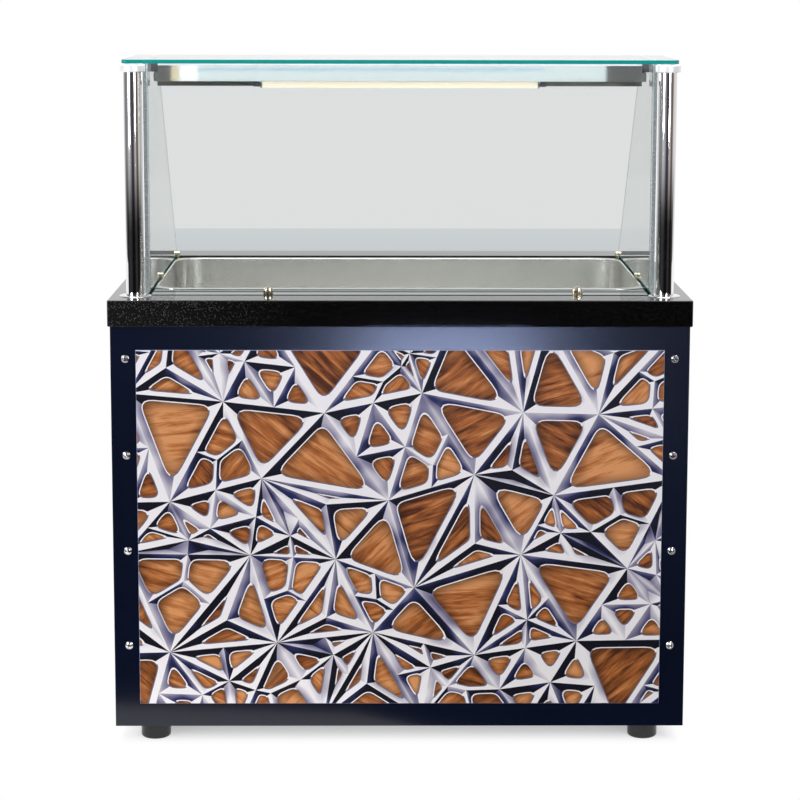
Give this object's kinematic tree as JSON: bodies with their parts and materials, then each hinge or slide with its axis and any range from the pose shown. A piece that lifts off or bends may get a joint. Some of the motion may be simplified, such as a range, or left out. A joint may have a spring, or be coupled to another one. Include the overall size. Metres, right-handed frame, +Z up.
{
  "type": "bain marie counter",
  "caption": "Free-standing bain marie counter: heated steel well in a stone worktop under a lit glass sneeze guard, on a painted cabinet with a printed front and rear doors.",
  "frame": {"origin": "on the floor, under the middle of the worktop's outline", "axes": "+Z up, +X to the right as the customer sees it, -Y towards the customer, +Y towards the operator"},
  "size_m": [1.2, 0.79, 1.438],
  "materials": {
    "granite": "polished, fine silver specks",
    "satin_steel": "satin stainless",
    "polished_steel": "mirror polished stainless",
    "chrome": "bright chromed",
    "warm_chrome": "bright, slightly warm",
    "navy_paint": "satin powder coat",
    "galvanised_sheet": "galvanised sheet",
    "printed_laminate": "gloss print",
    "clear_glass": "toughened, green edge",
    "black_foot_plastic": "moulded black",
    "black_control_plastic": "moulded black",
    "green_rocker": "translucent green rocker",
    "amber_lens": "amber lens",
    "clear_pad": "clear soft pad",
    "heater_sheath": "heat-stained steel sheath",
    "mineral_wool": "mineral wool",
    "zinc_steel": "zinc plated",
    "brass": "cast brass",
    "red_lever": "steel with red sleeve",
    "lamp_glass": "warm coated tube",
    "white_lampholder": "moulded white"
  },
  "bodies": {
    "counter": {"base_frame": "navy_paint", "cable_gland": "black_control_plastic", "cupboard_floor": "galvanised_sheet", "door_catches": "black_control_plastic", "door_pivots": "satin_steel", "drain_pipe": "brass", "drain_strainer": "satin_steel", "drain_valve": "brass", "frame_uprights": "navy_paint", "front_glass": "clear_glass", "front_panel": "navy_paint", "glass_clamps": "warm_chrome", "glass_pads": "clear_pad", "heat_shield": "galvanised_sheet", "heating_elements": "heater_sheath", "lamp_brackets": "polished_steel", "lamp_holders": "white_lampholder", "lamp_housing": "polished_steel", "lamp_switch_housing": "black_control_plastic", "lamp_tube": "lamp_glass", "left_post_collar": "chrome", "left_post_tube": "chrome", "left_side_glass": "clear_glass", "left_side_panel": "navy_paint", "panel_screws": "chrome", "pilot_lamp": "amber_lens", "post_flanges": "chrome", "post_tie_rods": "zinc_steel", "power_switch_housing": "black_control_plastic", "print_panel": "printed_laminate", "rear_fascia": "satin_steel", "rear_mid_rail": "navy_paint", "right_post_collar": "chrome", "right_post_tube": "chrome", "right_side_glass": "clear_glass", "right_side_panel": "navy_paint", "service_tray": "galvanised_sheet", "tank_insulation": "mineral_wool", "terminal_box": "satin_steel", "thermostat": "black_control_plastic", "top_frame": "navy_paint", "top_glass": "clear_glass", "well_tank": "satin_steel", "worktop": "granite"},
    "left_door": {"left_door": "navy_paint", "left_door_liner": "navy_paint", "left_door_handle": "chrome"},
    "right_door": {"right_door": "navy_paint", "right_door_liner": "navy_paint", "right_door_handle": "chrome"},
    "thermostat_dial": {"thermostat_knob": "black_control_plastic", "thermostat_spindle": "zinc_steel"},
    "power_rocker": {"power_rocker": "green_rocker"},
    "lamp_rocker": {"lamp_rocker": "black_control_plastic"},
    "drain_lever": {"valve_lever": "red_lever", "valve_ball": "brass"},
    "front_left_foot": {"front_left_foot": "black_foot_plastic"},
    "front_right_foot": {"front_right_foot": "black_foot_plastic"},
    "rear_left_foot": {"rear_left_foot": "black_foot_plastic"},
    "rear_right_foot": {"rear_right_foot": "black_foot_plastic"}
  },
  "joints": [
    {"name": "left_door_hinge", "type": "hinge", "parent": "counter", "child": "left_door", "pos_m": [-0.5495, 0.346, 0.36], "axis": [0, 0, 1], "range_deg": [0, 105]},
    {"name": "right_door_hinge", "type": "hinge", "parent": "counter", "child": "right_door", "pos_m": [0.5495, 0.346, 0.36], "axis": [0, 0, -1], "range_deg": [0, 105]},
    {"name": "thermostat_turn", "type": "hinge", "parent": "counter", "child": "thermostat_dial", "pos_m": [-0.458, 0.3595, 0.7021], "axis": [0, -1, 0], "range_deg": [0, 270]},
    {"name": "power_rock", "type": "hinge", "parent": "counter", "child": "power_rocker", "pos_m": [-0.341, 0.36, 0.7021], "axis": [-1, 0, 0], "range_deg": [0, 16]},
    {"name": "lamp_rock", "type": "hinge", "parent": "counter", "child": "lamp_rocker", "pos_m": [-0.388, 0.36, 0.7021], "axis": [-1, 0, 0], "range_deg": [0, 16]},
    {"name": "drain_lever_turn", "type": "hinge", "parent": "counter", "child": "drain_lever", "pos_m": [0.44, 0.25, 0.5711], "axis": [0, -1, 0], "range_deg": [0, 90]},
    {"name": "front_left_foot_turn", "type": "hinge", "parent": "counter", "child": "front_left_foot", "pos_m": [-0.519, -0.302, 0.03], "axis": [0, 0, 1], "continuous": true},
    {"name": "front_right_foot_turn", "type": "hinge", "parent": "counter", "child": "front_right_foot", "pos_m": [0.519, -0.302, 0.03], "axis": [0, 0, 1], "continuous": true},
    {"name": "rear_left_foot_turn", "type": "hinge", "parent": "counter", "child": "rear_left_foot", "pos_m": [-0.519, 0.29, 0.03], "axis": [0, 0, 1], "continuous": true},
    {"name": "rear_right_foot_turn", "type": "hinge", "parent": "counter", "child": "rear_right_foot", "pos_m": [0.519, 0.29, 0.03], "axis": [0, 0, 1], "continuous": true}
  ]
}
